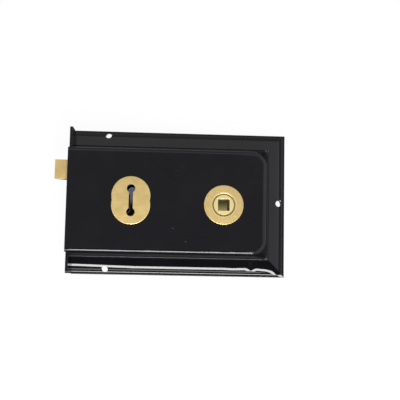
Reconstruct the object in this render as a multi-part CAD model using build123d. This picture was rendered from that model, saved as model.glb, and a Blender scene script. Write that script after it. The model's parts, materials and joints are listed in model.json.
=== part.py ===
from build123d import *
import os
from math import atan2, cos, pi, radians, sin, sqrt, tan

# Rim box lock with a sprung latch bolt, a key-thrown dead bolt and a warded keyhole.
# It stands as on a door: +X away from the bolts, +Y into the door, +Z up.
# Heights are measured from the door's face (Y = 0) towards the room (-Y).

# Case: one pressed sheet with a box, a ledge that falls a little outwards round three sides and a flat rim
lock_length = 152.4
lock_height = 101.6
case_depth = 20.0
sheet = 1.2
flange_at_end = 13.5
flange_at_side = 13.0
rim_width = 2.4
slope_width = 2.1
ledge_height = 7.6
ledge_fall = 0.7
foot_band_width = 1.5
wall_draft = 1.6
box_foot_corner = 2.4
box_face_corner = 13.0
face_edge_radius = 3.0
foot_cove_radius = 1.4
ledge_bend_radius = 3.0
rim_cove_radius = 1.5
rim_edge_radius = 0.4
face_overhang = 0.8

# Wood screw holes through the ledge's outer slope
flange_hole_radius = 2.15
flange_hole_inset = 3.8
flange_hole_from_bolt_end = 26.3
end_hole_inset = 5.05
end_hole_above_middle = 1.2

# Forend plate on the bolt end, with a lip for the door's edge and two lugs for the cap
forend_thickness = 1.8
forend_end_margin = 0.5
forend_corner_radius = 1.2
lip_depth = 11.0
lip_length = 76.0
lip_corner_radius = 3.0
lip_hole_radius = 2.3
lip_hole_spacing = 60.0
lip_sink_radius = 4.0
lip_sink_depth = 1.5
lug_length = 11.0
lug_height = 9.0
lug_thickness = 2.0
lug_wall_gap = 0.6

# Cap plate on the door side
cap_thickness = 1.5
cap_side_inset = 7.8
cap_end_inset = 8.7
cap_corner_radius = 4.0

# Keyhole and its brass plate
keyhole_from_bolt_end = 43.8
keyhole_below_middle = 0.1
stem_spacing = 16.2
stem_hole_radius = 2.9
bit_slot_width = 2.9
bit_reach = 12.6
lobe_radius = 13.3
lobe_spacing = 6.5
plate_thickness = 0.7
plate_edge_radius = 0.3
spigot_wall = 1.6

# Ring wards on the case and on the cap, one round each stem
ward_radius = 6.6
ward_wall = 1.0
ward_length = 4.0
ward_gap = 5.0

# Spindle follower and its brass rose
follower_from_bolt_end = 107.4
follower_below_middle = 1.85
spindle_square = 8.0
journal_radius = 7.15
journal_edge_radius = 0.25
journal_recess = 0.2
hub_radius = 8.6
arm_radius = 14.0
arm_pad_radius = 2.6
arm_width = 3.2
arm_thickness = 5.0
arm_lean = 22.0
rose_radius = 13.6
rose_thickness = 0.8
rose_edge_radius = 0.35
rose_spigot_radius = 9.6
rose_mouth_radius = 7.8
rose_mouth_depth = 0.65
rose_mouth_edge_radius = 0.4

# Both bolts
bolt_thickness = 9.0
tail_thickness = 2.0
tang_length = 8.0
tail_side_margin = 0.4
tail_wall = 3.0
tail_corner_radius = 0.8
rivet_radius = 1.25
rivet_spacing = 7.0

# Latch bolt
latch_head_height = 13.3
latch_place_share = 0.553
latch_head_length = 23.35
latch_projection = 10.0
latch_nose = 1.8
latch_edge_radius = 0.5
latch_tail_step = 6.0
latch_free_play = 0.16
yoke_top_rail = 2.9
yoke_rail_share = 0.61
yoke_end_bar = 5.0

# Dead bolt
dead_head_height = 16.0
dead_place_share = 0.569
dead_head_length = 26.0
dead_throw = 12.0
dead_tail_step = 1.0
dead_top_arm = 6.5
talon_width = 6.0
talon_bite = 3.5
talon_horn = 4.1
dead_guide_wall = 2.0

# Pillars between the case and the cap, riveted into the face
shoulder_radius = 3.4
neck_radius = 2.4
pillar_rivet_radius = 1.8
upper_pillar_from_bolt_end = 75.6
upper_pillar_wall = 1.8
lower_pillar_from_bolt_end = 73.0
lower_pillar_share = 0.537
rear_pillar_from_bolt_end = 130.6

# Countersunk cap screws
screw_radius = 1.5
screw_length = 4.6
screw_head_radius = 2.8
screw_head_height = 1.2
screw_slot_width = 0.7
screw_slot_depth = 0.5

# Latch spring above the yoke, the tail's tongue inside it and the peg behind it
spring_room = 1.0
wire_radius = 0.4
coil_radius = 3.0
spring_turns = 9
points_per_turn = 24
end_turn_pitch = 1.3
tongue_width = 3.2
tongue_length = 12.0
spring_start_from_bolt_end = 97.4
peg_nose_radius = 2.0
peg_nose_length = 5.0
peg_collar_thickness = 1.8
peg_shank_radius = 1.1
peg_shank_length = 2.4

# Detent: a strip spring on a post, with a bump that drops into the dead bolt's notches
detent_from_bolt_end = 81.6
detent_post_radius = 1.6
detent_rivet_radius = 1.1
detent_post_length = 14.0
strip_gap = 1.15
strip_thickness = 0.5
strip_width = 4.0
strip_length = 36.0
bump_radius = 2.2
bump_from_post = 31.4

# Fits
slide_clearance = 0.15
running_clearance = 0.05
layer_clearance = 0.1
part_clearance = 0.5
overrun = 5.0
match_tolerance = 0.01
outline_tolerance = 0.3

# Places that follow from the sizes
bolt_end = -lock_length / 2
far_end = lock_length / 2
half_height = lock_height / 2
forend_face = bolt_end + face_overhang
forend_back = forend_face + forend_thickness
face_underside = case_depth - sheet
box_far_end = far_end - flange_at_end
box_half_height = half_height - flange_at_side
keyhole_x = bolt_end + keyhole_from_bolt_end
upper_stem = (keyhole_x, stem_spacing / 2 - keyhole_below_middle)
lower_stem = (keyhole_x, -stem_spacing / 2 - keyhole_below_middle)
follower_x = bolt_end + follower_from_bolt_end
follower_z = -follower_below_middle
latch_z = box_half_height * latch_place_share
dead_z = -box_half_height * dead_place_share
dead_tail_bottom = dead_z - dead_head_height / 2 + tail_side_margin
arm_reach = arm_radius + arm_pad_radius + part_clearance
window_top = follower_z + arm_reach
window_bottom = follower_z - arm_reach
neck_slot = neck_radius + layer_clearance
spring_z = window_top + yoke_top_rail + spring_room + coil_radius + wire_radius
upper_pillar = (bolt_end + upper_pillar_from_bolt_end, window_top + upper_pillar_wall + neck_slot)
lower_pillar = (bolt_end + lower_pillar_from_bolt_end, -box_half_height * lower_pillar_share)
rear_pillar = (bolt_end + rear_pillar_from_bolt_end, spring_z)
detent_post = (bolt_end + detent_from_bolt_end,
               dead_tail_bottom - strip_gap + running_clearance + detent_post_radius)
yoke_bottom_rail = (window_bottom - detent_post[1] - detent_post_radius) * yoke_rail_share
lug_x = forend_back + lug_length / 2
lug_z = box_half_height - sheet - lug_wall_gap - lug_height / 2
screw_places = [upper_pillar, lower_pillar, rear_pillar, (lug_x, lug_z), (lug_x, -lug_z)]
bolt_low = (cap_thickness + face_underside - bolt_thickness) / 2
bolt_high = bolt_low + bolt_thickness
latch_front = forend_face - latch_projection
latch_back = latch_front + latch_head_length
latch_tail_low = bolt_low + latch_tail_step
latch_tail_high = latch_tail_low + tail_thickness
latch_middle_height = latch_tail_low + tail_thickness / 2
latch_travel = 2 * arm_radius * sin(radians(arm_lean))
dead_back = forend_face + dead_head_length
dead_tail_low = bolt_low + dead_tail_step
dead_tail_high = dead_tail_low + tail_thickness
dead_middle_height = dead_tail_low + tail_thickness / 2
talon_x = keyhole_x + dead_throw / 2
spring_start = bolt_end + spring_start_from_bolt_end
spring_end = rear_pillar[0] - shoulder_radius - peg_collar_thickness


# Plane of the front view at a height above the door's face
def front_plane(height):
    return Plane.XZ.offset(height)


# Rectangle in the front view, from its left, right, bottom and top
def panel(left, right, bottom, top):
    return Pos((left + right) / 2, (bottom + top) / 2) * Rectangle(right - left, top - bottom)


# The same with its two far corners round, for what meets the forend square
def round_panel(left, right, bottom, top, radius):
    shape = panel(left, right, bottom, top)
    return fillet(shape.vertices().sort_by(Axis.X)[-2:], radius)


# Round off the corners of an outline whose sides leave room for it
def soften(profile, radius):
    clean = profile.clean()
    short = [edge for edge in clean.edges() if edge.length < 2 * radius + layer_clearance]
    crowded = [vertex for edge in short for vertex in edge.vertices()]
    return fillet([vertex for vertex in clean.vertices() if vertex not in crowded], radius)


def disc(centre, radius):
    return Pos(*centre) * Circle(radius)


# Front view shape made solid between two heights
def slab(profile, low, high):
    return extrude(front_plane(low) * profile, high - low)


def post(centre, radius, low, high):
    return slab(disc(centre, radius), low, high)


def cone(centre, low_radius, high_radius, low, high):
    return loft([front_plane(low) * disc(centre, low_radius), front_plane(high) * disc(centre, high_radius)])


# Shape in a plane across the lock, made solid along +X
def side_slab(low, high, bottom, top, left, right, corner=0):
    shape = Pos(-(low + high) / 2, (bottom + top) / 2) * Rectangle(high - low, top - bottom)
    if corner:
        shape = fillet(shape.vertices(), corner)
    return extrude(Plane.YZ.offset(left) * shape, right - left)


# Edges that lie flat at one height, without those on the bolt end
def edges_at(body, height):
    flat = [edge for edge in body.edges()
            if edge.bounding_box().size.Y < match_tolerance and abs(edge.center().Y + height) < match_tolerance]
    return ShapeList(edge for edge in flat if edge.center().X > bolt_end + sheet)


# Those of them on the outline of a panel that ends at a far end and a half height, or inside it
def on_panel(edges, end, half):
    return [edge for edge in edges
            if edge.bounding_box().max.X < end + outline_tolerance and abs(edge.center().Z) < half + outline_tolerance]


# Flange's skin moved inwards by an inset: each corner of its section as width from the outline, height and radius
def flange_section(inset):
    ledge_start = rim_width + slope_width
    band_start = flange_at_side - foot_band_width
    corners = [(0, sheet), (rim_width, sheet), (ledge_start, ledge_height - ledge_fall),
               (band_start, ledge_height), (half_height, ledge_height)]
    headings = [atan2(end[1] - start[1], end[0] - start[0]) for start, end in zip(corners, corners[1:])]
    radii = [0 if inset else rim_cove_radius, ledge_bend_radius - inset, ledge_bend_radius - inset]
    section = [] if inset else [(0, sheet, rim_edge_radius)]
    for corner, before, after, radius in zip(corners[1:], headings, headings[1:], radii):
        reach = inset / (1 + cos(after - before))
        width = corner[0] + reach * (sin(before) + sin(after))
        section.append((width, corner[1] - reach * (cos(before) + cos(after)), radius))
    return section


# Outline whose corners are round where they have a radius
def rounded(corners):
    shape = Polygon(*[corner[:2] for corner in corners], align=None)
    for x, y, radius in corners:
        if radius:
            near = shape.vertices().sort_by_distance((x, y))[0]
            shape = fillet(near, radius)
    return shape


# Solid within the pressing's outer skin, with the skin moved inwards by an inset
def pressing(inset):
    low = -overrun if inset else 0
    left = bolt_end + low
    ledge = ledge_height - inset
    face = case_depth - inset
    foot_end = box_far_end - inset
    foot_half = box_half_height - inset
    section = flange_section(inset)
    edge = section[0][0]
    upper = [(-height, half_height - width, radius) for width, height, radius in section]
    lower = [(y, -z, radius) for y, z, radius in reversed(upper)]
    sides = rounded([(-low, half_height - edge, 0)] + upper + lower + [(-low, edge - half_height, 0)])
    end = rounded([(left, -low, 0), (far_end - edge, -low, 0)]
                  + [(far_end - width, -height, radius) for width, height, radius in section]
                  + [(left, -ledge, 0)])
    flange = extrude(Plane.YZ.offset(left) * sides, lock_length - 2 * low, dir=(1, 0, 0))
    flange &= extrude(Plane.XY.offset(-lock_height) * end, 2 * lock_height, dir=(0, 0, 1))
    foot = round_panel(left, foot_end, -foot_half, foot_half, box_foot_corner - inset)
    crown = round_panel(left, foot_end - wall_draft, wall_draft - foot_half, foot_half - wall_draft,
                        box_face_corner - inset)
    box = loft([front_plane(ledge) * foot, front_plane(face) * crown], ruled=True)
    box = fillet(edges_at(box, face), face_edge_radius - inset)
    body = flange + box
    return fillet(on_panel(edges_at(body, ledge), foot_end, foot_half), foot_cove_radius)


# Round ended keyhole with a stem hole at each end of the slot for the bit
def keyhole_profile():
    slot = panel(keyhole_x - bit_slot_width / 2, keyhole_x + bit_slot_width / 2, lower_stem[1], upper_stem[1])
    return disc(upper_stem, stem_hole_radius) + disc(lower_stem, stem_hole_radius) + slot


def keyhole_spigot():
    wide = 2 * (stem_hole_radius + spigot_wall)
    return Pos(keyhole_x, -keyhole_below_middle) * Rot(0, 0, 90) * SlotCenterToCenter(stem_spacing, wide)


def flange_holes():
    hole_x = bolt_end + flange_hole_from_bolt_end
    hole_z = half_height - flange_hole_inset
    return [(hole_x, hole_z), (hole_x, -hole_z), (far_end - end_hole_inset, end_hole_above_middle)]


def make_case():
    body = pressing(0) - pressing(sheet)
    body -= side_slab(-overrun, face_underside, -lock_height, lock_height, bolt_end - overrun, forend_back)
    for place in flange_holes():
        body -= post(place, flange_hole_radius, -overrun, case_depth)
    for place in (upper_pillar, lower_pillar, rear_pillar):
        body -= post(place, pillar_rivet_radius, face_underside, case_depth)
    body -= post(detent_post, detent_rivet_radius, face_underside, case_depth)
    body -= slab(keyhole_spigot(), face_underside, case_depth)
    body -= post((follower_x, follower_z), rose_spigot_radius, face_underside, case_depth)
    return body


# Window for a bolt head, as bottom and top
def window_span(middle, height):
    return middle - height / 2 - slide_clearance, middle + height / 2 + slide_clearance


def make_forend():
    reach = half_height - forend_end_margin
    plate = side_slab(0, face_underside, -reach, reach, forend_face, forend_back, forend_corner_radius)
    lip = side_slab(-lip_depth, lip_depth, -lip_length / 2, lip_length / 2,
                    forend_face, forend_back, lip_corner_radius)
    body = plate + lip
    for middle, height in ((latch_z, latch_head_height), (dead_z, dead_head_height)):
        bottom, top = window_span(middle, height)
        body -= side_slab(bolt_low - slide_clearance, bolt_high + slide_clearance, bottom, top,
                          forend_face - overrun, forend_back + overrun)
    for side in (-1, 1):
        hole = Plane.YZ.offset(forend_face) * Pos(lip_depth / 2, side * lip_hole_spacing / 2)
        body -= extrude(hole * Circle(lip_hole_radius), forend_thickness)
        sunk = Plane.YZ.offset(forend_face + lip_sink_depth) * Pos(lip_depth / 2, side * lip_hole_spacing / 2)
        body -= loft([hole * Circle(lip_sink_radius), sunk * Circle(lip_hole_radius)])
        middle = side * lug_z
        body += slab(panel(forend_back, forend_back + lug_length, middle - lug_height / 2,
                           middle + lug_height / 2), cap_thickness, cap_thickness + lug_thickness)
        body -= post((lug_x, middle), screw_radius, cap_thickness, cap_thickness + lug_thickness)
    return body


def make_cap():
    half = half_height - cap_side_inset
    plate = round_panel(forend_back, far_end - cap_end_inset, -half, half, cap_corner_radius)
    body = slab(plate, 0, cap_thickness)
    body -= slab(keyhole_profile(), 0, cap_thickness)
    body -= post((follower_x, follower_z), journal_radius + running_clearance, 0, cap_thickness)
    for place in screw_places:
        body -= post(place, screw_radius, 0, cap_thickness)
        body -= cone(place, screw_head_radius, screw_radius, 0, screw_head_height)
    return body


def make_keyhole_bush():
    lobes = [disc((keyhole_x, side * lobe_spacing / 2 - keyhole_below_middle), lobe_radius) for side in (-1, 1)]
    top = case_depth + plate_thickness
    plate = slab(lobes[0] + lobes[1], case_depth, top)
    plate = fillet(edges_at(plate, top), plate_edge_radius)
    body = plate + slab(keyhole_spigot(), face_underside, case_depth)
    return body - slab(keyhole_profile(), face_underside, top)


def make_rose():
    middle = (follower_x, follower_z)
    top = case_depth + rose_thickness
    flange = post(middle, rose_radius, case_depth, top)
    flange = fillet(edges_at(flange, top), rose_edge_radius)
    body = flange + post(middle, rose_spigot_radius, face_underside, case_depth)
    body -= post(middle, journal_radius + running_clearance, face_underside, top)
    body -= post(middle, rose_mouth_radius, top - rose_mouth_depth, top)
    return fillet(edges_at(body, top).sort_by(SortBy.LENGTH)[0], rose_mouth_edge_radius)


# Pillar that hangs from the face, with a shoulder down to a height and a neck from there to the cap
def make_pillar(place, shoulder_low):
    body = post(place, pillar_rivet_radius, face_underside, case_depth)
    body += post(place, shoulder_radius, shoulder_low, face_underside)
    if shoulder_low > cap_thickness:
        body += post(place, neck_radius, cap_thickness, shoulder_low)
    return body - post(place, screw_radius, cap_thickness, screw_length)


def make_rear_pillar():
    body = make_pillar(rear_pillar, cap_thickness)
    return body - along_x(peg_shank_radius, spring_end + peg_collar_thickness,
                          spring_end + peg_collar_thickness + peg_shank_length)


# Round bar along X on the latch spring's axis
def along_x(radius, left, right):
    return extrude(Plane.YZ.offset(left) * Pos(-latch_middle_height, spring_z) * Circle(radius), right - left)


def make_spring_peg():
    collar_end = spring_end + peg_collar_thickness
    body = along_x(peg_nose_radius, spring_end - peg_nose_length, spring_end)
    body += along_x(coil_radius + wire_radius, spring_end, collar_end)
    return body + along_x(peg_shank_radius, collar_end, collar_end + peg_shank_length)


def make_ward(low):
    rings = [post(stem, ward_radius + ward_wall / 2, low, low + ward_length)
             - post(stem, ward_radius - ward_wall / 2, low, low + ward_length)
             for stem in (upper_stem, lower_stem)]
    gap = panel(keyhole_x - ward_gap / 2, keyhole_x + ward_gap / 2, lower_stem[1], upper_stem[1])
    return [ring - slab(gap, low, low + ward_length) for ring in rings]


def make_cap_screw(place):
    body = cone(place, screw_head_radius, screw_radius, 0, screw_head_height)
    body += post(place, screw_radius, screw_head_height, screw_length)
    x, z = place
    slot = panel(x - screw_head_radius, x + screw_head_radius, z - screw_slot_width / 2, z + screw_slot_width / 2)
    return body - slab(slot, 0, screw_slot_depth)


# Place along the spring's axis after a share of its turns: close turns at both ends, even ones between
def spring_rise(turn):
    start = spring_start + wire_radius
    run = spring_end - spring_start - 2 * wire_radius
    open_pitch = (run - 2 * end_turn_pitch) / (spring_turns - 2)
    if turn <= 1:
        return start + turn * end_turn_pitch
    if turn >= spring_turns - 1:
        return start + run - (spring_turns - turn) * end_turn_pitch
    return start + end_turn_pitch + (turn - 1) * open_pitch


def spring_point(quarter):
    angle = quarter * pi / 2
    return Vector(spring_rise(quarter / 4), -latch_middle_height + coil_radius * cos(angle),
                  spring_z + coil_radius * sin(angle))


def spring_heading(quarter):
    angle = quarter * pi / 2
    pitch = (spring_rise(min(quarter + 1, 4 * spring_turns) / 4) - spring_rise(max(quarter - 1, 0) / 4)) * 2
    share = 2 if 0 < quarter < 4 * spring_turns else 1
    climb = pitch / share * 2
    return Vector(climb / (2 * pi), -coil_radius * sin(angle), coil_radius * cos(angle)).normalized()


# Two tangent arcs from one point and heading to another
def biarc(start, start_heading, end, end_heading):
    chord = end - start
    both = start_heading + end_heading
    turn = 2 * (1 - start_heading.dot(end_heading))
    reach = (sqrt(chord.dot(both) ** 2 + turn * chord.dot(chord)) - chord.dot(both)) / turn
    first_corner = start + start_heading * reach
    last_corner = end - end_heading * reach
    middle = (first_corner + last_corner) * 0.5
    middle_heading = (last_corner - first_corner).normalized()
    return [TangentArc(start, middle, tangent=start_heading), TangentArc(middle, end, tangent=middle_heading)]


# Least gap between turns, measured on points of the wire's middle line that are half a turn or more apart
def spring_gap(path):
    count = spring_turns * points_per_turn
    points = [path @ (step / count) for step in range(count + 1)]
    apart = points_per_turn // 2
    return min((points[later] - points[first]).length
               for first in range(count + 1) for later in range(first + apart, count + 1)) - 2 * wire_radius


def make_latch_spring():
    arcs = []
    for quarter in range(4 * spring_turns):
        arcs += biarc(spring_point(quarter), spring_heading(quarter),
                      spring_point(quarter + 1), spring_heading(quarter + 1))
    path = Wire(arcs)
    print("latch_spring least gap to itself", round(spring_gap(path), 2))
    mouth = Plane(origin=spring_point(0), z_dir=spring_heading(0))
    return sweep(mouth * Circle(wire_radius), path=path)


def make_detent_post():
    body = post(detent_post, detent_rivet_radius, face_underside, case_depth)
    return body + post(detent_post, detent_post_radius, face_underside - detent_post_length, face_underside)


# Middle line of the detent strip, below the post
def strip_middle():
    return detent_post[1] - detent_post_radius - running_clearance - strip_thickness / 2


def bump_place():
    return detent_post[0] - bump_from_post, strip_middle()


def make_detent_spring():
    x, z = detent_post
    middle = strip_middle()
    half = strip_thickness / 2
    inner = detent_post_radius + running_clearance
    eye = disc(detent_post, inner + strip_thickness) - disc(detent_post, inner)
    strip = panel(x - strip_length, x, middle - half, middle + half)
    bump = disc(bump_place(), bump_radius) - disc(bump_place(), bump_radius - strip_thickness)
    bump_x = bump_place()[0]
    bump -= panel(bump_x - bump_radius, bump_x + bump_radius, middle - bump_radius, middle - half)
    inside = bump_radius - strip_thickness
    strip -= panel(bump_x - inside, bump_x + inside, middle - half, middle + half)
    profile = eye + strip + bump
    low = dead_middle_height - strip_width / 2
    return slab(profile, low, low + strip_width)


def make_latch_head():
    bottom = latch_z - latch_head_height / 2
    outline = Polyline((latch_front, -bolt_high), (latch_back, -bolt_high), (latch_back, -bolt_low),
                       (forend_face, -bolt_low), (latch_front, -bolt_high + latch_nose), close=True)
    body = extrude(Plane.XY.offset(bottom) * make_face(outline), latch_head_height)
    nose = [edge for edge in body.edges().filter_by(Axis.Z) if edge.center().X < forend_face - layer_clearance]
    body = fillet(nose, latch_edge_radius)
    tang = panel(latch_back - tang_length, latch_back, bottom, bottom + latch_head_height)
    body -= slab(tang, latch_tail_low, bolt_high)
    for place in rivet_places(latch_back, latch_z):
        body -= post(place, rivet_radius, bolt_low, latch_tail_low)
    return body


def rivet_places(back, middle):
    x = back - tang_length / 2
    return [(x, middle - rivet_spacing / 2), (x, middle + rivet_spacing / 2)]


# The latch's tail: a strap over the keyhole, a guide slot on the upper pillar and a yoke round the follower
def make_latch_tail():
    bottom = latch_z - latch_head_height / 2 + tail_side_margin
    strap_bottom = upper_stem[1] + bit_reach + part_clearance
    pillar_x, pillar_z = upper_pillar
    slot_left = pillar_x - latch_travel - neck_radius - part_clearance
    slot_right = pillar_x + neck_radius + slide_clearance
    guide_left = slot_left - tail_wall
    guide_bottom = pillar_z - neck_slot - tail_wall
    top = max(latch_z + latch_head_height / 2 - tail_side_margin, pillar_z + neck_slot + tail_wall)
    end_lean = radians(3 * arm_lean)
    window_left = (follower_x - arm_radius * sin(end_lean) - arm_pad_radius
                   - latch_travel - part_clearance)
    bar_left = lower_pillar[0] + shoulder_radius + part_clearance
    lean = radians(arm_lean)
    shoulder = latch_free_play + arm_pad_radius - arm_radius * sin(lean)
    neck_clear = (arm_width / 2 / cos(lean) - shoulder + layer_clearance) / tan(lean)
    mouth_half = max(neck_clear, hub_radius + part_clearance)
    mouth_right = follower_x + hub_radius + part_clearance
    yoke_right = mouth_right + yoke_end_bar

    profile = panel(latch_back - tang_length, latch_back + tail_wall, bottom, top)
    profile += panel(latch_back, guide_left + tail_wall, strap_bottom, top)
    profile += panel(guide_left, spring_start, guide_bottom, top)
    profile += panel(bar_left, yoke_right, window_bottom - yoke_bottom_rail, window_top + yoke_top_rail)
    profile += panel(spring_start, spring_start + tongue_length,
                     spring_z - tongue_width / 2, spring_z + tongue_width / 2)
    profile -= panel(window_left, follower_x + shoulder, window_bottom, window_top)
    profile -= panel(window_left, mouth_right, follower_z - mouth_half, follower_z + mouth_half)
    profile = soften(profile, tail_corner_radius)
    middle = (slot_left + slot_right) / 2
    slot = SlotOverall(slot_right - slot_left, 2 * neck_slot)
    profile -= Pos(middle, pillar_z) * slot
    body = slab(profile, latch_tail_low, latch_tail_high)
    for place in rivet_places(latch_back, latch_z):
        body -= post(place, rivet_radius, latch_tail_low, latch_tail_high)
    return body


def make_dead_head():
    bottom = dead_z - dead_head_height / 2
    top = dead_z + dead_head_height / 2
    body = side_slab(bolt_low, bolt_high, bottom, top, forend_face, dead_back)
    body = chamfer(body.faces().sort_by(Axis.X)[0].edges(), latch_edge_radius)
    body -= slab(panel(dead_back - tang_length, dead_back, bottom, top), bolt_low, dead_tail_high)
    for place in rivet_places(dead_back, dead_z):
        body -= post(place, rivet_radius, dead_tail_high, bolt_high)
    return body


# The dead bolt's tail: an arm with a talon under each stem's circle, joined at the far end by a bar
def make_dead_tail():
    head_top = dead_z + dead_head_height / 2 - tail_side_margin
    low_arm_top = lower_stem[1] - bit_reach + talon_bite
    high_arm_bottom = upper_stem[1] + bit_reach - talon_bite
    pillar_x, pillar_z = lower_pillar
    slot_left = pillar_x - neck_radius - slide_clearance
    slot_right = pillar_x + dead_throw + neck_radius + part_clearance
    block_left = slot_left - dead_guide_wall
    block_bottom = pillar_z - neck_slot - tail_wall / 2
    block_top = pillar_z + neck_slot + tail_wall
    bar_left = keyhole_x + bit_reach + dead_throw + part_clearance
    bar_right = upper_pillar[0] - neck_radius - part_clearance
    horn_left = talon_x - talon_width / 2 - talon_horn

    profile = panel(dead_back - tang_length, dead_back + tail_wall, dead_tail_bottom, head_top)
    profile += panel(dead_back, block_left + tail_wall, dead_tail_bottom, low_arm_top)
    profile += panel(block_left, slot_right + tail_wall, block_bottom, block_top)
    profile += panel(bar_left, bar_right, pillar_z, high_arm_bottom + dead_top_arm)
    profile += panel(horn_left, bar_right, high_arm_bottom, high_arm_bottom + dead_top_arm)
    talon = talon_width / 2
    notch_bottom = lower_stem[1] - bit_reach - part_clearance
    notch_top = upper_stem[1] + bit_reach + part_clearance
    profile -= panel(talon_x - talon, talon_x + talon, notch_bottom, low_arm_top)
    profile -= panel(talon_x - talon, talon_x + talon, high_arm_bottom, notch_top)
    profile = soften(profile, tail_corner_radius)
    bump_x, bump_z = bump_place()
    for notch_x in (bump_x, bump_x + dead_throw):
        profile -= disc((notch_x, bump_z), bump_radius + slide_clearance)
    middle = (slot_left + slot_right) / 2
    profile -= Pos(middle, pillar_z) * SlotOverall(slot_right - slot_left, 2 * neck_slot)
    body = slab(profile, dead_tail_low, dead_tail_high)
    for place in rivet_places(dead_back, dead_z):
        body -= post(place, rivet_radius, dead_tail_low, dead_tail_high)
    return body


def make_follower():
    middle = (follower_x, follower_z)
    hub_low = cap_thickness + layer_clearance
    hub_high = face_underside - layer_clearance
    journal_top = case_depth + rose_thickness - journal_recess
    body = post(middle, journal_radius, layer_clearance, journal_top)
    body = fillet(edges_at(body, journal_top), journal_edge_radius)
    body += post(middle, hub_radius, hub_low, hub_high)
    arms = Sketch()
    for angle in (90 + arm_lean, 270 - arm_lean):
        along = Pos(*middle) * Rot(0, 0, angle)
        arms += along * Pos(arm_radius / 2, 0) * Rectangle(arm_radius, arm_width)
        arms += along * Pos(arm_radius, 0) * Circle(arm_pad_radius)
    body += slab(arms, latch_middle_height - arm_thickness / 2, latch_middle_height + arm_thickness / 2)
    square = Pos(*middle) * Rectangle(spindle_square, spindle_square)
    return body - slab(square, 0, case_depth + rose_thickness)


parts = {
    "case": make_case(),
    "forend": make_forend(),
    "cap": make_cap(),
    "keyhole_bush": make_keyhole_bush(),
    "follower_rose": make_rose(),
    "upper_pillar": make_pillar(upper_pillar, latch_tail_high + layer_clearance),
    "lower_pillar": make_pillar(lower_pillar, dead_tail_high + layer_clearance),
    "rear_pillar": make_rear_pillar(),
    "spring_peg": make_spring_peg(),
    "ward_front": Compound(children=make_ward(face_underside - ward_length)),
    "ward_back": Compound(children=make_ward(cap_thickness)),
    "cap_screws": Compound(children=[make_cap_screw(place) for place in screw_places]),
    "detent_post": make_detent_post(),
    "detent_spring": make_detent_spring(),
    "latch_spring": make_latch_spring(),
    "latch_head": make_latch_head(),
    "latch_tail": make_latch_tail(),
    "latch_rivets": Compound(children=[post(place, rivet_radius, bolt_low, latch_tail_high)
                                       for place in rivet_places(latch_back, latch_z)]),
    "deadbolt_head": make_dead_head(),
    "deadbolt_tail": make_dead_tail(),
    "deadbolt_rivets": Compound(children=[post(place, rivet_radius, dead_tail_low, bolt_high)
                                          for place in rivet_places(dead_back, dead_z)]),
    "follower": make_follower(),
}

os.makedirs("parts", exist_ok=True)
for name, shape in parts.items():
    export_step(shape, f"parts/{name}.step")
    print(name, round(shape.volume, 1))
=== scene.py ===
import json
from math import cos, pi, radians, sin

import bmesh
import bpy
from mathutils import Matrix, Vector


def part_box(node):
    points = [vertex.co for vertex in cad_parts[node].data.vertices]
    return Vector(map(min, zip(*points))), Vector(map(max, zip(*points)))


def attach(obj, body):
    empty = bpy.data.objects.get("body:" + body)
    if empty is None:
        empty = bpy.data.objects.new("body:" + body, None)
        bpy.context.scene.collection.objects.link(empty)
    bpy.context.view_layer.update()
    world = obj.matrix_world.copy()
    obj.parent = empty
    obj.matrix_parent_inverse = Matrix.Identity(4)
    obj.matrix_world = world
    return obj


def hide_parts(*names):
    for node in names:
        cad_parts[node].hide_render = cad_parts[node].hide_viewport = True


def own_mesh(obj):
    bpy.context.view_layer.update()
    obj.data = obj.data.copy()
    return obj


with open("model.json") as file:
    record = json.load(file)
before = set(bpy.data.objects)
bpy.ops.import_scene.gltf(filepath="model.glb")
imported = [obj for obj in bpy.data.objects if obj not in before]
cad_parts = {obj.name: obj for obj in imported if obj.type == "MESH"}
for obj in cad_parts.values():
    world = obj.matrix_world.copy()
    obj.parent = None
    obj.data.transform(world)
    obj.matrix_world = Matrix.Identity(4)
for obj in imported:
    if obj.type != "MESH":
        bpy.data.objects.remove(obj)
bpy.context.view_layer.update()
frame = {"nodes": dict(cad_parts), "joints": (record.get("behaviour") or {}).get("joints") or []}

# Rim box lock. Metres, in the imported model's frame: +X away from the bolts, +Y into the door, +Z up.
print("frame loaded,", len(frame["nodes"]), "nodes")

mergeDistance = 0.000002
smoothAngle = radians(32)


# A new object of the scene, at the origin
def newObject(name, data):
    made = bpy.data.objects.new(name, data)
    bpy.context.scene.collection.objects.link(made)
    return made


# An editable copy of a mesh, with its doubles merged
def mergedCopy(mesh):
    built = bmesh.new()
    built.from_mesh(mesh)
    bmesh.ops.remove_doubles(built, verts=built.verts, dist=mergeDistance)
    return built


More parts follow.
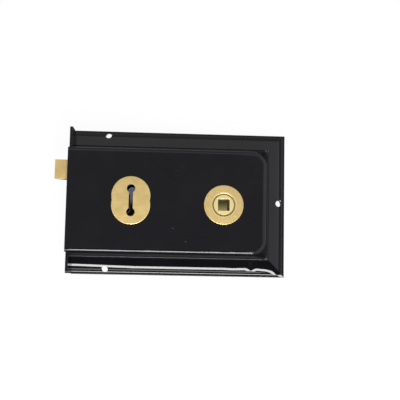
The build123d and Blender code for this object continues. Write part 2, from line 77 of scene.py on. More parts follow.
# Node numbers as expressions: a Value wraps a socket, and a sum on it adds the Math node
class Value:
    def __init__(self, graph, socket):
        self.graph = graph
        self.socket = socket

    def math(self, operation, *others):
        return self.graph.node("ShaderNodeMath", {"operation": operation}, dict(enumerate((self, *others))))

    def __add__(self, other):
        return self.math("ADD", other)

    def __sub__(self, other):
        return self.math("SUBTRACT", other)

    def __rsub__(self, other):
        return self.graph.node("ShaderNodeMath", {"operation": "SUBTRACT"}, {0: other, 1: self})

    def __mul__(self, other):
        return self.math("MULTIPLY", other)

    def __truediv__(self, other):
        return self.math("DIVIDE", other)

    def __neg__(self):
        return 0 - self

    __radd__ = __add__
    __rmul__ = __mul__

    def size(self):
        return self.math("ABSOLUTE")

    def atLeast(self, other):
        return self.math("MAXIMUM", other)

    def atMost(self, other):
        return self.math("MINIMUM", other)

    # 1 where it is less than the other number, and 0 elsewhere
    def below(self, other):
        return self.math("LESS_THAN", other)

    # 0 below one number and 1 above another, with a soft step between
    def step(self, low, high):
        return self.graph.node("ShaderNodeMapRange", {"interpolation_type": "SMOOTHSTEP"},
                               {"Value": self, "From Min": low, "From Max": high})

    # 1 from one number to another, with a soft step that ends at each of them
    def band(self, low, high, soft):
        return self.step(low - soft, low) * (1 - self.step(high - soft, high))

    # 1 at a number, falling softly to 0 at a reach on both sides of it
    def pulse(self, middle, reach):
        return 1 - (self - middle).size().step(0.0, reach)


# A node tree under construction
class Graph:
    def __init__(self, tree):
        self.tree = tree
        self.tree.nodes.clear()

    # Any node: its type, its settings, then the values or links of its sockets
    def node(self, kind, settings=None, inputs=None, output=0):
        made = self.tree.nodes.new(kind)
        for name, setting in (settings or {}).items():
            setattr(made, name, setting)
        for name, value in (inputs or {}).items():
            for one in value if isinstance(value, list) else [value]:
                if isinstance(one, Value):
                    self.tree.links.new(one.socket, made.inputs[name])
                else:
                    made.inputs[name].default_value = one
        return Value(self, made.outputs[output]) if made.outputs else None

    def vector(self, x=0.0, y=0.0, z=0.0):
        return self.node("ShaderNodeCombineXYZ", None, {0: x, 1: y, 2: z})

    def parts(self, vector):
        return [self.node("ShaderNodeSeparateXYZ", None, {0: vector}, axis) for axis in range(3)]

    # A sum of vectors; a length or a dot product comes out as a number
    def arrows(self, operation, *vectors):
        output = "Value" if operation in ("LENGTH", "DOT_PRODUCT") else "Vector"
        return self.node("ShaderNodeVectorMath", {"operation": operation}, dict(enumerate(vectors)), output)


# A material's tree, or the world's
class Finish(Graph):
    def __init__(self, owner):
        owner.use_nodes = True
        self.owner = owner
        super().__init__(owner.node_tree)

    def place(self):
        return self.node("ShaderNodeTexCoord", output="Object")

    # A point's place from a centre as three numbers: to the right, into the door and up
    def axes(self, centre=(0, 0, 0)):
        return self.parts(self.arrows("SUBTRACT", self.place(), centre))

    # Length of a step in the plane of the lock's face
    def away(self, across, up):
        return self.arrows("LENGTH", self.vector(x=across, z=up))

    # A point's place in units of a size, or of one size along each axis
    def stretched(self, sizes):
        return self.arrows("DIVIDE", self.place(), sizes if isinstance(sizes, tuple) else (sizes,) * 3)

    def noise(self, sizes, detail):
        return self.node("ShaderNodeTexNoise", None,
                         {"Vector": self.stretched(sizes), "Scale": 1.0, "Detail": detail})

    def lineNoise(self, along, size, detail):
        return self.node("ShaderNodeTexNoise", {"noise_dimensions": "1D"},
                         {"W": along / size, "Scale": 1.0, "Detail": detail})

    def mix(self, share, first, second):
        return self.node("ShaderNodeMix", {"data_type": "RGBA"}, {"Factor": share, 6: first, 7: second}, 2)

    # From one arrow to another by a share
    def blended(self, share, first, second):
        return self.node("ShaderNodeMix", {"data_type": "VECTOR"}, {"Factor": share, 4: first, 5: second}, 1)

    # From one shader to another by a share
    def layered(self, share, under, over):
        return self.node("ShaderNodeMixShader", None, {0: share, 1: under, 2: over})

    def ownNormal(self):
        return self.node("ShaderNodeNewGeometry", output="Normal")

    def edgeNormal(self, radius):
        return self.node("ShaderNodeBevel", {"samples": 6}, {"Radius": radius})

    def bump(self, height, depth, normal):
        return self.node("ShaderNodeBump", None,
                         {"Height": height, "Strength": 1.0, "Distance": depth, "Normal": normal})

    def ray(self, kind):
        return self.node("ShaderNodeLightPath", output=kind)

    def matt(self, tone):
        return self.node("ShaderNodeBsdfDiffuse", None, {"Color": tone})

    def glow(self, tone):
        return self.node("ShaderNodeEmission", None, {"Color": tone, "Strength": 1.0})

    def surface(self, **inputs):
        return self.node("ShaderNodeBsdfPrincipled", None,
                         {name.replace("_", " "): value for name, value in inputs.items()})

    def close(self, shader):
        kind = "World" if isinstance(self.owner, bpy.types.World) else "Material"
        self.node("ShaderNodeOutput" + kind, None, {"Surface": shader})
        return self.owner


# A Geometry Nodes tree whose named numbers show on the modifier
class Recipe(Graph):
    def __init__(self, name, numbers):
        tree = bpy.data.node_groups.new(name, "GeometryNodeTree")
        for way in ("INPUT", "OUTPUT"):
            tree.interface.new_socket("Geometry", in_out=way, socket_type="NodeSocketGeometry")
        self.identifiers = {}
        for label, number in numbers.items():
            kind = "NodeSocketInt" if isinstance(number, int) else "NodeSocketFloat"
            made = tree.interface.new_socket(label, in_out="INPUT", socket_type=kind)
            made.default_value = number
            self.identifiers[label] = made.identifier
        super().__init__(tree)
        self.inputs = tree.nodes.new("NodeGroupInput")
        self.numbers = numbers

    def given(self, label):
        return Value(self, self.inputs.outputs[label])

    def moved(self, geometry, offset):
        return self.node("GeometryNodeTransform", None, {"Geometry": geometry, "Translation": offset})

    # A ring swept along a curve, closed at both ends
    def swept(self, curve, sides, radius):
        ring = self.node("GeometryNodeCurvePrimitiveCircle", None, {"Resolution": sides, "Radius": radius})
        return self.node("GeometryNodeCurveToMesh", None,
                         {"Curve": curve, "Profile Curve": ring, "Fill Caps": True})

    # Copies of a shape at the host's points
    def copies(self, shape, rotation=(0, 0, 0)):
        return self.node("GeometryNodeInstanceOnPoints", None,
                         {"Points": self.given("Geometry"), "Instance": shape, "Rotation": rotation})

    # Ends the tree, runs it on a mesh of points and gives back the finished, merged mesh as an object
    def made(self, shape, points, name, material):
        real = self.node("GeometryNodeRealizeInstances", None, {"Geometry": shape})
        shown = self.node("GeometryNodeSetMaterial", None, {"Geometry": real, "Material": material})
        self.node("NodeGroupOutput", None, {"Geometry": shown})
        host = bpy.data.meshes.new(name + "Places")
        host.from_pydata(points, [], [])
        carrier = newObject(name + "Host", host)
        modifier = carrier.modifiers.new(name, "NODES")
        modifier.node_group = self.tree
        for label, number in self.numbers.items():
            modifier[self.identifiers[label]] = number
        bpy.context.view_layer.update()
        mesh = bpy.data.meshes.new_from_object(carrier.evaluated_get(bpy.context.evaluated_depsgraph_get()))
        carrier.modifiers.clear()
        bpy.data.objects.remove(carrier)
        mesh.name = name
        built = mergedCopy(mesh)
        bmesh.ops.recalc_face_normals(built, faces=built.faces)
        built.to_mesh(mesh)
        built.free()
        mesh.shade_smooth()
        mesh.set_sharp_from_angle(angle=smoothAngle)
        return newObject(name, mesh)


def colour(rgb):
    return (*rgb, 1.0)


def newFinish(name):
    return Finish(bpy.data.materials.new(name))


# Middle of a node in the plane of the lock's face
def centreOf(node):
    low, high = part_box(node)
    middle = (low + high) / 2
    return (middle.x, 0.0, middle.z)


# Black stoved enamel over the pressed case, the forend and the cap
enamel = {
    "colour": (0.0034, 0.0033, 0.0050),
    "greyed": (0.0050, 0.0049, 0.0066),
    "greyedSize": 0.03,
    "greyedFrom": (0.35, 0.75),
    "gloss": 0.075,
    "smudge": 0.05,
    "smudgeSize": (0.011, 0.011, 0.016),
    "smudgeFrom": (0.4, 0.8),
    "peelSize": 0.0013,
    "peelDepth": 0.0000045,
    "waveSize": (0.0224, 0.014, 0.014),
    "waveDepth": 0.00007,
    "dust": (0.12, 0.11, 0.10),
    "dustShare": 0.5,
    "speckSize": 0.0021,
    "speckFrom": (0.02, 0.05),
    "speckWhere": (0.55, 0.7),
    "edgeRadius": 0.00018,
    "forendRadius": 0.0006,
    "bare": (0.72, 0.72, 0.70),
}


def enamelShader(finish, normal, dimple=0.0, rougher=0.0, bare=0.0):
    cloud = finish.noise(enamel["greyedSize"], 3.0)
    smudge = finish.noise(enamel["smudgeSize"], 4.0)
    peel = finish.noise(enamel["peelSize"], 1.0)
    wave = finish.noise(enamel["waveSize"], 1.0)
    cells = finish.node("ShaderNodeTexVoronoi", None,
                        {"Vector": finish.stretched(enamel["speckSize"]), "Scale": 1.0})
    speck = (1 - cells.step(*enamel["speckFrom"])) * smudge.step(*enamel["speckWhere"])
    tone = finish.mix(cloud.step(*enamel["greyedFrom"]), colour(enamel["colour"]), colour(enamel["greyed"]))
    dusty = finish.mix(speck * enamel["dustShare"], tone, colour(enamel["dust"]))
    chipped = finish.mix(bare, dusty, colour(enamel["bare"]))
    rough = enamel["gloss"] + smudge.step(*enamel["smudgeFrom"]) * enamel["smudge"] + rougher
    height = peel * enamel["peelDepth"] + wave * enamel["waveDepth"] + dimple
    return finish.surface(Base_Color=chipped, Roughness=rough, Normal=finish.bump(height, 1.0, normal))


def enamelFinish(name, edgeRadius):
    finish = newFinish(name)
    return finish.close(enamelShader(finish, finish.edgeNormal(edgeRadius)))


# The pressed case: its flange turns over softly and waves a little near the far end, and its foot line holds
# dust. The foot of its bottom walls has painted shade, a near-black matt in place of the gloss. Places are
# widths from the case's outline, and a lean tips the surface's normal outwards.
pressed = {
    "bendPlace": {"bottom": 0.0053, "top": 0.0042, "end": 0.0068},
    "bendLean": 0.37,
    "bendFall": 190.0,
    "bendReach": (-0.0012, 0.0058),
    "bendSoft": 0.0003,
    "ledgeLean": 0.082,
    "boltEnd": (-0.030, 0.022),  # from here the bottom bend drifts inwards, and by how much
    "farCorner": (0.062, 0.30),  # and from here outwards
    "wave": {"length": 0.011, "shift": 0.0016, "along": (0.015, 0.070)},
    "flats": ((0.0520, 0.0048, 0.60), (0.0710, 0.0065, 0.62)),  # along X: place, reach, share of the lean
    "cornerRadius": 0.0025,
    "cornerAlong": (0.038, 0.054),
    "cornerFrom": (0.0120, 0.0135),
    "cornerTo": (0.0178, 0.0186),
    "footFlat": (0.0121, 0.0006, -0.35),  # place, reach, lean
    "footSteep": (0.0127, 0.0006, 0.35),
    "footDust": (0.0133, 0.0026, 0.30),  # place, reach, strength
    # place, reach and share of a near-black matt on the foot of the bottom walls: painted shade
    "wallFootShade": (0.0146, 0.0027, 0.9),
    "endFootMore": 0.0005,
    "front": (0.0, 0.2),  # how far a normal faces the front, on the ledge and the face
    "raised": (0.0, 0.05),  # and on the walls too
    "chip": (0.0730, 0.0036),
    "chipSize": (0.00045, 0.00070),
    "chipRough": 0.3,
}


# Where a point lies in the case's outline: its width from it, and the side that it belongs to
class Outline:
    def __init__(self, finish):
        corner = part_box("case")[1]
        self.finish = finish
        self.across, _, self.up = finish.axes()
        side, end = corner.z - self.up.size(), corner.x - self.across
        self.width = side.atMost(end)
        self.footWidth = side.atMost(end - pressed["endFootMore"])
        self.onSide = side.below(end)
        self.onBottom = self.onSide * self.up.below(0.0)

    # An arrow that leans out over the outline
    def outwards(self, lean, forward=0.0):
        return self.finish.vector(x=(1 - self.onSide) * lean, y=-forward,
                                  z=self.up.math("SIGN") * self.onSide * lean)

    # The rounded normal of the edges, wider on the face's corners at the far end
    def rounded(self):
        inCorner = self.across.step(*pressed["cornerAlong"]) * self.width.step(*pressed["cornerFrom"]) \
            * (1 - self.width.step(*pressed["cornerTo"]))
        return self.finish.blended(inCorner, self.finish.edgeNormal(enamel["edgeRadius"]),
                                   self.finish.edgeNormal(pressed["cornerRadius"]))

    # How far inside the flange's bend the point lies
    def pastBend(self):
        place, wave = pressed["bendPlace"], pressed["wave"]
        boltEnd, boltDrift = pressed["boltEnd"]
        farCorner, farDrift = pressed["farCorner"]
        ripple = self.finish.lineNoise(self.across, wave["length"], 0.0) - 0.5
        bottom = place["bottom"] + (boltEnd - self.across).atLeast(0.0) * boltDrift \
            - (self.across - farCorner).atLeast(0.0) * farDrift \
            + ripple * self.across.step(*wave["along"]) * wave["shift"]
        return self.width - (self.onSide * (place["top"] - place["end"]) + place["end"]
                             + self.onBottom * (bottom - place["top"]))

    # The soft bend in place of a normal: it leans most at its outer edge and flattens towards the ledge
    def bent(self, normal, front):
        past, soft = self.pastBend(), pressed["bendSoft"]
        flat = sum(self.across.pulse(place, reach) * share for place, reach, share in pressed["flats"])
        lean = (pressed["bendLean"] - past * pressed["bendFall"]).atLeast(pressed["ledgeLean"]) \
            * (1 - flat * self.onBottom)
        arrow = self.finish.arrows("NORMALIZE", self.outwards(lean, 1.0))
        return self.finish.blended(past.band(*pressed["bendReach"], soft) * front, normal, arrow)

    # The foot of the walls: a flat line and a steep one beside it
    def footed(self, normal, front):
        lean = sum(self.footWidth.pulse(place, reach) * most
                   for place, reach, most in (pressed["footFlat"], pressed["footSteep"])) * front
        return self.finish.arrows("NORMALIZE", self.finish.arrows("ADD", normal, self.outwards(lean)))


def pressedEnamel():
    finish = newFinish("pressedEnamel")
    outline = Outline(finish)
    rounded = outline.rounded()
    facing = -finish.parts(rounded)[1]
    front, raised = facing.step(*pressed["front"]), facing.step(*pressed["raised"])
    normal = outline.footed(outline.bent(rounded, front), front)
    chipX, chipZ = pressed["chip"]
    bare = (1 - finish.away(outline.across - chipX, outline.up - chipZ).step(*pressed["chipSize"])) * raised
    footPlace, footReach, dusty = pressed["footDust"]
    wallPlace, wallReach, wallShadeShare = pressed["wallFootShade"]
    rougher = outline.footWidth.pulse(footPlace, footReach) * raised * dusty + bare * pressed["chipRough"]
    # painted shade: the foot of the bottom walls turns to a near-black matt in place of the gloss
    wallShaded = outline.footWidth.pulse(wallPlace, wallReach) * raised * outline.onBottom * wallShadeShare
    shiny = enamelShader(finish, normal, rougher=rougher, bare=bare)
    return finish.close(finish.layered(wallShaded, shiny, finish.matt(colour(enamel["greyed"]))))


# Brass of every kind: each piece's pale tone over a deep one, tarnish in clouds, and edges rubbed bright
brass = {
    "deep": (0.66, 0.47, 0.18),
    "tarnish": (0.50, 0.335, 0.13),
    "worn": (0.92, 0.80, 0.45),
    "wear": (0.004, 0.10),
    "satin": 0.42,
    "scratchRough": 0.16,
}


def brassColour(finish, pale, mottle, stain):
    tone = finish.mix(mottle, colour(brass["deep"]), colour(pale))
    return finish.mix(stain, tone, colour(brass["tarnish"]))


# Rubbed bright along the piece's edges, where its rounded normal leaves the flat one
def wornEdges(finish, rounded, tone):
    apart = 1 - finish.arrows("DOT_PRODUCT", finish.ownNormal(), rounded)
    return finish.mix(apart.step(*brass["wear"]), tone, colour(brass["worn"]))


# Brushed brass: the keyhole's plate, and the drawn bar of the two bolts
brushed = {
    "fineGrain": 0.4,
    "fineShare": 0.3,
    "mottleSize": 0.006,
    "mottleShare": 0.7,
    "mottleRough": 0.08,
    "stainSize": 0.013,
    "stainFrom": (0.56, 0.85),
    "stainShare": 0.35,
}
keyholePlate = {
    "pale": (0.80, 0.62, 0.285),
    "grain": (0.0035, 0.0006, 0.0007),
    "depth": 0.000010,
    "edgeRadius": 0.0007,
    "sharpHalf": (0.0042, 0.0115),  # the keyhole's own edges stay sharp
}
boltBar = {
    "pale": (0.90, 0.68, 0.31),
    "grain": (0.009, 0.0007, 0.0006),
    "depth": 0.000008,
    "edgeRadius": 0.0002,
}


def brushedBrass(name, pale, grain, depth, edgeRadius, sharpHalf=None, centre=(0, 0, 0)):
    finish = newFinish(name)
    lines = finish.noise(grain, 4.0)
    fine = finish.noise(tuple(size * brushed["fineGrain"] for size in grain), 2.0)
    mottle = finish.noise(brushed["mottleSize"], 4.0)
    stain = finish.noise(brushed["stainSize"], 5.0).step(*brushed["stainFrom"]) * brushed["stainShare"]
    rounded = finish.edgeNormal(edgeRadius)
    if sharpHalf:
        across, _, up = finish.axes(centre)
        within = across.size().below(sharpHalf[0]) * up.size().below(sharpHalf[1])
        rounded = finish.blended(within, rounded, finish.ownNormal())
    scratches = lines * (1 - brushed["fineShare"]) + fine * brushed["fineShare"]
    rough = brass["satin"] + (lines - 0.5) * brass["scratchRough"] + mottle * brushed["mottleRough"]
    mottled = mottle * brushed["mottleShare"] + lines * (1 - brushed["mottleShare"])
    tone = wornEdges(finish, rounded, brassColour(finish, pale, mottled, stain))
    return finish.close(finish.surface(Base_Color=tone, Metallic=1.0, Roughness=rough,
                                       Normal=finish.bump(scratches, depth, rounded)))


# Turned brass, with rings round an axis along Y: the rose, and the follower that shows in its dished mouth
turned = {
    "pale": (0.80, 0.62, 0.285),
    "ringPitch": 0.00055,
    "ringDepth": 0.000012,
    "ringShare": 0.35,
    "ringWander": 0.8,
    "scratchPitch": 0.0001925,
    "flickSize": 0.0016,
    "flickShare": 0.4,
    "mottleSize": 0.0022,
    "mottleFrom": (0.3, 0.7),
    "stainSize": 0.009,
    "stainFrom": (0.58, 0.85),
    "stainShare": 0.3,
    "edgeRadius": 0.0003,
    "soft": 0.00035,
    "smoother": 0.06,
    "bossTo": 0.00685,
    "bossBright": 0.7,
    "grooveFrom": 0.0072,
    "grooveTo": 0.0080,
    "grooveRough": 0.2,
    # painted shade in the groove between the rose's mouth and its lip
    "grooveShade": (0.20, 0.12, 0.035),
    "grooveShadeShare": 0.85,
    "lipTo": 0.0092,
    # the lip's paler band is a painted highlight
    "lipHighlight": 0.4,
    "lipPolish": 0.02,
    "polishAndHighlightTone": (0.96, 0.84, 0.42),
    "stake": (0.0081, -0.0077),
    "stakeSize": (0.0003, 0.0007),
    "socketReach": 0.0058,
    "socketDepth": (0.0004, 0.0030),
    # painted shade inside the follower's square socket
    "socketShade": (0.17, 0.13, 0.05),
    "socketRough": 0.35,
}


def turnedBrass(name, centre):
    finish = newFinish(name)
    across, along, up = finish.axes(centre)
    radius, soft = finish.away(across, up), turned["soft"]
    flick = finish.noise(turned["flickSize"], 3.0)
    rings = ((radius / turned["ringPitch"] + flick * turned["ringWander"]) * (2 * pi)).math("SINE")
    scratch = finish.lineNoise(radius, turned["scratchPitch"], 3.0)
    mottle = finish.noise(turned["mottleSize"], 4.0).step(*turned["mottleFrom"])
    stain = finish.noise(turned["stainSize"], 5.0).step(*turned["stainFrom"]) * turned["stainShare"]
    boss = 1 - radius.step(turned["bossTo"] - soft, turned["bossTo"])
    groove = radius.band(turned["grooveFrom"], turned["grooveTo"], soft)
    lip = radius.band(turned["grooveTo"], turned["lipTo"], soft)
    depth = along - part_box("follower")[0].y
    socket = (1 - radius.step(turned["socketReach"] - soft, turned["socketReach"])) \
        * depth.step(*turned["socketDepth"])
    stakeX, stakeZ = turned["stake"]
    stake = 1 - finish.away(across - stakeX, up - stakeZ).step(*turned["stakeSize"])

    rounded = finish.edgeNormal(turned["edgeRadius"])
    height = rings * turned["ringShare"] + scratch + flick * turned["flickShare"]
    tone = brassColour(finish, turned["pale"], mottle * 0.5 + scratch * 0.5, stain)
    # the boss is paler as polished brass, and the lip has a painted highlight, paler all round
    polishAndHighlightShare = lip * turned["lipHighlight"] + boss * turned["bossBright"]
    bright = finish.mix(polishAndHighlightShare, tone, colour(turned["polishAndHighlightTone"]))
    staked = finish.mix(stake, wornEdges(finish, rounded, bright), colour(brass["worn"]))
    # painted shade: the follower's square socket is a dull dark brown inside, not metal
    socketShaded = finish.mix(socket, staked, colour(turned["socketShade"]))
    # painted shade: the groove is darkened to a deep brown
    grooveShaded = finish.mix(groove * turned["grooveShadeShare"], socketShaded, colour(turned["grooveShade"]))
    rough = brass["satin"] - turned["smoother"] + scratch * brass["scratchRough"] \
        + groove * turned["grooveRough"] + socket * turned["socketRough"] - lip * turned["lipPolish"]
    return finish.close(finish.surface(Base_Color=grooveShaded, Metallic=1 - socket, Roughness=rough,
                                       Normal=finish.bump(height, turned["ringDepth"], rounded)))


# Steel of the inner pieces: rolled strip, drawn rod, bright zinc and oil tempered wire
steel = {
    "mottleSize": 0.007,
    "mottleShare": 0.6,
    "stainSize": 0.017,
    "stainFrom": (0.55, 0.8),
    "stainShare": 0.4,
    "oil": (0.24, 0.19, 0.13),
    "grainRough": 0.16,
    "edgeRadius": 0.00015,
}
rolledStrip = {
    "tones": ((0.40, 0.40, 0.41), (0.55, 0.55, 0.55)),
    "grain": (0.012, 0.0006, 0.0006),
    "depth": 0.000008,
    "rough": 0.26,
}
drawnRod = {**rolledStrip, "grain": (0.0006, 0.004, 0.0006), "rough": 0.30}
brightZinc = {
    "tones": ((0.58, 0.60, 0.64), (0.74, 0.75, 0.76)),
    "grain": 0.0012,
    "depth": 0.000006,
    "rough": 0.20,
}
springWire = {
    "tones": ((0.16, 0.15, 0.15), (0.27, 0.25, 0.23)),
    "grain": 0.002,
    "depth": 0.000003,
    "rough": 0.30,
}


def steelShader(finish, tones, grain, depth, rough):
    lines = finish.noise(grain, 4.0)
    mottle = finish.noise(steel["mottleSize"], 4.0)
    stain = finish.noise(steel["stainSize"], 5.0).step(*steel["stainFrom"]) * steel["stainShare"]
    tone = finish.mix(mottle * steel["mottleShare"] + lines * (1 - steel["mottleShare"]),
                      colour(tones[0]), colour(tones[1]))
    oiled = finish.mix(stain, tone, colour(steel["oil"]))
    return finish.surface(Base_Color=oiled, Metallic=1.0, Roughness=rough + lines * steel["grainRough"],
                          Normal=finish.bump(lines, depth, finish.edgeNormal(steel["edgeRadius"])))


def steelFinish(name, kind):
    finish = newFinish(name)
    return finish.close(steelShader(finish, **kind))


# A pillar is bare steel inside the case, and its riveted end is under the case's enamel with a faint ring
rivetEnd = {"depth": 0.0006, "ring": 0.0011, "ringWidth": 0.0007, "rise": 0.000012}


def pillarFinish(node):
    finish = newFinish("end_" + node)
    across, along, up = finish.axes(centreOf(node))
    depth, face = rivetEnd["depth"], -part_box("case")[0].y
    painted = (-along).step(face - depth, face - depth / 2)
    ring = finish.away(across, up).pulse(rivetEnd["ring"], rivetEnd["ringWidth"]) * rivetEnd["rise"]
    bare = steelShader(finish, **drawnRod)
    return finish.close(finish.layered(painted, bare, enamelShader(finish, finish.ownNormal(), ring)))


def paint(material, *nodes):
    for node in nodes:
        slots = frame["nodes"][node].data.materials
        for index in range(len(slots)):
            slots[index] = material


def paintAll():
    paint(pressedEnamel(), "case")
    paint(enamelFinish("forendEnamel", enamel["forendRadius"]), "forend")
    paint(enamelFinish("capEnamel", enamel["edgeRadius"]), "cap")
    paint(brushedBrass("satinBrass", **keyholePlate, centre=centreOf("keyhole_bush")), "keyhole_bush")
    paint(turnedBrass("turnedRose", centreOf("follower_rose")), "follower_rose")
    paint(turnedBrass("turnedFollower", centreOf("follower_rose")), "follower")
    paint(brushedBrass("drawnBar", **boltBar), "latch_head", "deadbolt_head")
    paint(steelFinish("rolledStrip", rolledStrip), "latch_tail", "deadbolt_tail", "latch_rivets",
          "deadbolt_rivets", "ward_front", "ward_back", "spring_peg")
    paint(steelFinish("springStrip", springWire), "detent_spring")
    for node in ("upper_pillar", "lower_pillar", "rear_pillar", "detent_post"):
        paint(pillarFinish(node), node)
    print("finishes done")


# Slotted countersunk screws that hold the cap to the pillars and the forend's lugs
screws = {
    "Head radius": 0.0027,
    "Head height": 0.0012,
    "Head sides": 48,
    "Shank radius": 0.0012,
    "Shank sides": 32,
    "Length": 0.0044,
    "Slot width": 0.0007,
    "Slot depth": 0.0005,
    "Thread radius": 0.00022,
    "Thread share": 0.90,
    "Thread start": 0.98,
    "Thread steps": 24,
    "Thread sides": 3,
    "Turns": 6.0,
    "Seed": 7,
}


# Middle of each loose part of a CAD node's mesh, as points on the face that it turns to the door
def partPlaces(node):
    built = mergedCopy(frame["nodes"][node].data)
    left, places = set(built.verts), []
    while left:
        reached = [left.pop()]
        for vertex in reached:
            near = {edge.other_vert(vertex) for edge in vertex.link_edges} & left
            left -= near
            reached.extend(near)
        lows, highs = [[side(v.co[axis] for v in reached) for axis in range(3)] for side in (min, max)]
        places.append(((lows[0] + highs[0]) / 2, highs[1], (lows[2] + highs[2]) / 2))
    built.free()
    return sorted(places)


# Head up along +Z with its slot across X, then laid so that the head faces the door, each with its own turn
def makeScrews():
    recipe = Recipe("slottedScrews", screws)
    given, radius = recipe.given, recipe.given("Shank radius")
    headRadius, headHeight = given("Head radius"), given("Head height")
    head = recipe.node("GeometryNodeMeshCone", None, {
        "Vertices": given("Head sides"), "Radius Top": headRadius, "Radius Bottom": radius,
        "Depth": headHeight})
    cutter = recipe.node("GeometryNodeMeshCube", None, {
        "Size": recipe.vector(headRadius * 3, given("Slot width"), given("Slot depth") * 2)})
    slotted = recipe.node("GeometryNodeMeshBoolean", {"operation": "DIFFERENCE", "solver": "EXACT"}, {
        "Mesh 1": head, "Mesh 2": recipe.moved(cutter, recipe.vector(z=headHeight))})
    length = given("Length") - headHeight
    shank = recipe.node("GeometryNodeMeshCylinder", None, {
        "Vertices": given("Shank sides"), "Radius": radius, "Depth": length})
    helix = recipe.node("GeometryNodeCurveSpiral", None, {
        "Resolution": given("Thread steps"), "Rotations": given("Turns"), "Start Radius": radius,
        "End Radius": radius, "Height": length * given("Thread share")})
    thread = recipe.swept(helix, given("Thread sides"), given("Thread radius"))
    screw = recipe.node("GeometryNodeJoinGeometry", None, {0: [
        slotted, recipe.moved(shank, recipe.vector(z=length / -2)),
        recipe.moved(thread, recipe.vector(z=-(length * given("Thread start"))))]})
    seated = recipe.moved(screw, recipe.vector(z=-headHeight))
    turn = recipe.node("FunctionNodeRandomValue", {"data_type": "FLOAT"},
                       {2: 0.0, 3: 2 * pi, "Seed": given("Seed")}, 1)
    laid, spin = [recipe.node("FunctionNodeEulerToRotation", None, {0: angles})
                  for angles in ((-pi / 2, 0, 0), recipe.vector(z=turn))]
    spun = recipe.node("FunctionNodeRotateRotation", {"rotation_space": "LOCAL"}, {0: laid, 1: spin})
    piece = recipe.made(recipe.copies(seated, spun), partPlaces("cap_screws"), "capScrews",
                        steelFinish("brightZinc", brightZinc))
    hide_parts("cap_screws")
    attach(piece, "lock_case")
    print("screws done,", len(piece.data.polygons), "faces")


# Latch spring: close turns at both ends and even ones between, wound round X
spring = {
    "Turns": 9,
    "Steps": 28,
    "Coil radius": 0.0030,
    "Wire radius": 0.0004,
    "Wire sides": 12,
    "End pitch": 0.0013,
}


def makeLatchSpring():
    low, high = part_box("latch_spring")
    length, middle = high.x - low.x, (low + high) / 2
    recipe = Recipe("woundSpring", {**spring, "Length": length})
    given = recipe.given
    wire, turns, ends, coil = given("Wire radius"), given("Turns"), given("End pitch"), given("Coil radius")
    points = recipe.node("GeometryNodeMeshLine", {"mode": "OFFSET"}, {
        "Count": turns * given("Steps") + 1, "Offset": (0, 0, 0)})
    turn = recipe.node("GeometryNodeInputIndex") / given("Steps")
    pitch = (given("Length") - wire * 2 - ends * 2) / (turns - 2)
    closeTurns = turn.atMost(1.0) + (turn - turns + 1).atLeast(0.0)
    evenTurns = (turn - 1).atLeast(0.0).atMost(turns - 2)
    angle = turn * (2 * pi)
    place = recipe.vector(wire + closeTurns * ends + evenTurns * pitch, angle.math("COSINE") * coil,
                          angle.math("SINE") * coil)
    helix = recipe.node("GeometryNodeMeshToCurve", None, {
        "Mesh": recipe.node("GeometryNodeSetPosition", None, {"Geometry": points, "Position": place})})
    wound = recipe.swept(helix, given("Wire sides"), wire)
    piece = recipe.made(recipe.copies(wound), [(low.x, middle.y, middle.z)], "latchSpring",
                        steelFinish("temperedWire", springWire))
    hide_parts("latch_spring")
    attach(piece, "lock_case")
    travel = next(joint for joint in frame["joints"] if joint["name"] == "latch_slide")["range_m"][1]
    (length - travel) / length
    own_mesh(piece)
    print("spring done,", len(piece.data.polygons), "faces")


# The table that the lock lies on: white to the camera, with painted shade in its reflections round the lock,
# and painted shade and light that glow through the keyhole and the spindle's square
table = {
    "size": 3.0,
    "gap": 0.0004,
    "colour": (0.8, 0.8, 0.8),
    "shadowShare": 0.05,
    "underHalf": (0.058, 0.032),
    "underFade": 0.006,
    "lockHalf": (0.0772, 0.0514),
    "lockFade": 0.0015,
    "underLock": 0.35,
    "ownShade": {"half": (0.10, 0.26), "drop": 0.20, "fade": 0.08, "lowest": 0.05},
    "holeTurn": (-0.005, 0.005),
    "keyholeTop": (0.090, 0.100, 0.140),
    "keyholeLow": (0.003, 0.003, 0.003),
    "keyholeTurn": (-0.0015, 0.0045),
    "socketTop": (0.055, 0.042, 0.010),
    "socketLow": (0.36, 0.31, 0.14),
    "socketTurn": 1 / 6,  # half of the soft step, as a share of the follower's height
}


# 0 inside a rectangle round the lock's middle, or below it, and 1 outside
def outside(finish, half, fade, drop=0.0):
    across, _, up = finish.axes((0, 0, -drop))
    return (across.size() - half[0]).atLeast(up.size() - half[1]).step(0.0, fade)


# What shows through the holes is a glow of painted shade and light: the keyhole on the left, bluish above
# and black below, the spindle's square on the right, dark above and paler below
def paintedHoleShade(finish):
    across, _, up = finish.axes()
    low, high = [corner.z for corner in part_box("follower")]
    middle, reach = (low + high) / 2, (high - low) * table["socketTurn"]
    keyhole = finish.mix(up.step(*table["keyholeTurn"]), colour(table["keyholeLow"]),
                         colour(table["keyholeTop"]))
    socket = finish.mix(up.step(middle - reach, middle + reach), colour(table["socketLow"]),
                        colour(table["socketTop"]))
    return finish.mix(across.step(*table["holeTurn"]), keyhole, socket)


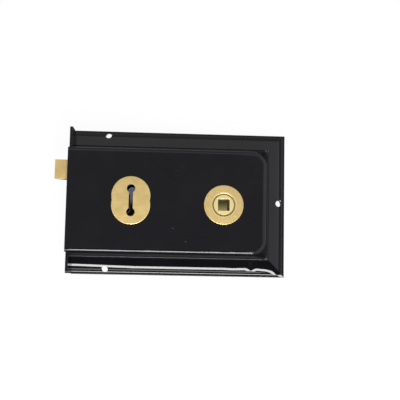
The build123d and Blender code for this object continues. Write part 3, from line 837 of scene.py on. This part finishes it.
def tableFinish():
    finish, own = newFinish("paleTable"), table["ownShade"]
    black, white = colour((0, 0, 0)), colour((1, 1, 1))
    direct = finish.ray("Is Camera Ray").atLeast(finish.ray("Is Transmission Ray"))
    front = 1 - finish.node("ShaderNodeNewGeometry", output="Backfacing")
    # painted shade in reflections: dim round the lock, and an even grey behind it
    reflected = own["lowest"] + outside(finish, own["half"], own["fade"], own["drop"]) * (1 - own["lowest"])
    behindLock = 1 - outside(finish, table["lockHalf"], table["lockFade"])
    level = reflected + behindLock * (table["underLock"] - reflected)
    mirrored = finish.glow(finish.mix(level, black, white))
    beyond = outside(finish, table["underHalf"], table["underFade"])
    lit = finish.layered(beyond * (1 - table["shadowShare"]), finish.matt(colour(table["colour"])),
                         finish.glow(white))
    shaded = finish.layered(1 - beyond, lit, finish.glow(paintedHoleShade(finish)))
    shown = finish.layered(direct, mirrored, shaded)
    seen = direct.atLeast(finish.ray("Is Glossy Ray")) * front
    return finish.close(finish.layered(seen, finish.node("ShaderNodeBsdfTransparent"), shown))


# It touches the lip's back edge on the left and the rim on the right
def makeTable():
    lip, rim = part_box("forend"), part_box("case")
    left = Vector((lip[0].x, lip[1].y + table["gap"], 0))
    right = Vector((rim[1].x, table["gap"], 0))
    middle, half = (left + right) / 2, table["size"] / 2
    run, rise = (right - left).normalized() * half, Vector((0, 0, half))
    mesh = bpy.data.meshes.new("tableTop")
    mesh.from_pydata([middle - run - rise, middle + run - rise, middle + run + rise, middle - run + rise],
                     [], [(0, 1, 2, 3)])
    mesh.materials.append(tableFinish())
    top = newObject("tableTop", mesh)
    print("table done")


# Soft panels round the lock, each placed by the way it lies from the lock: turn to the right, rise above
lights = {
    "below": {"turn": 2, "rise": -40, "distance": 0.8, "size": (0.42, 0.36), "power": 8.6},
    "behind": {"turn": 150, "rise": 35, "distance": 1.0, "size": (0.8, 0.8), "power": 6.0},
}


def makeLights():
    for name, light in lights.items():
        turn, rise = radians(light["turn"]), radians(light["rise"])
        outward = Vector((sin(turn) * cos(rise), -cos(turn) * cos(rise), sin(rise)))
        lamp = bpy.data.lights.new(name + "Panel", "AREA")
        lamp.shape = "RECTANGLE"
        lamp.size, lamp.size_y = light["size"]
        lamp.energy = light["power"]
        panel = newObject(name + "Panel", lamp)
        panel.location = outward * light["distance"]
        panel.rotation_euler = outward.to_track_quat("Z", "Y").to_euler()
        panel.visible_camera = False


# The room is white to the camera. Its dim side is behind the camera, and it is paler above, to both sides
# and round the back, and dark low down
room = {
    "tint": (0.98, 0.99, 1.0),
    "dim": 0.26,
    "pale": 0.80,
    "high": 0.42,
    "lowest": 0.015,
    "rise": (0.17, 0.26),
    "top": (0.52, 0.66),
    "right": (0.19, 0.30),
    "left": (0.25, 0.45),
    "back": (0.15, 0.5),
    "drop": (0.02, 0.08),
}


def makeRoom():
    world = bpy.data.worlds.new("room")
    bpy.context.scene.world = world
    finish = Finish(world)
    right, back, up = finish.parts(finish.node("ShaderNodeTexCoord", output="Generated"))
    pale = up.step(*room["rise"]).atLeast(right.step(*room["right"])) \
        .atLeast((-right).step(*room["left"])).atLeast(back.step(*room["back"]))
    middle = room["dim"] - (-up).step(*room["drop"]) * (room["dim"] - room["lowest"])
    light = room["pale"] - up.step(*room["top"]) * (room["pale"] - room["high"])
    shade = middle + pale * (light - middle)
    strength = shade + finish.ray("Is Camera Ray") * (1 - shade)
    finish.close(finish.node("ShaderNodeBackground", None,
                             {"Color": colour(room["tint"]), "Strength": strength}))
    print("lights and room done")


# The camera stands a little below the lock and to its left, and is turned a little round its own axis
shot = {
    "distance": 0.5,
    "right": 0.01587,
    "up": 0.00286,
    "tilt": -5.93,
    "turn": 2.90,
    "roll": -1.37,
    "lens": 63.19,
    "sensor": 36,
    "clip": (0.01, 20),
}


def makeCamera():
    upright = Matrix(((1, 0, 0), (0, 0, 1), (0, -1, 0)))
    roll, turn, tilt = [Matrix.Rotation(radians(shot[name]), 3, axis)
                        for name, axis in (("roll", "Z"), ("turn", "Y"), ("tilt", "X"))]
    offset = Matrix.Translation((-shot["right"], -shot["up"], -shot["distance"]))
    data = bpy.data.cameras.new("shot")
    data.lens, data.sensor_width = shot["lens"], shot["sensor"]
    data.clip_start, data.clip_end = shot["clip"]
    camera = newObject("shot", data)
    camera.matrix_world = (offset @ (roll @ turn @ tilt @ upright).to_4x4()).inverted()
    bpy.context.scene.camera = camera


paintAll()
makeScrews()
makeLatchSpring()
makeTable()
makeLights()
makeRoom()
makeCamera()
bpy.context.scene.view_settings.view_transform = "Standard"
print("scene done")
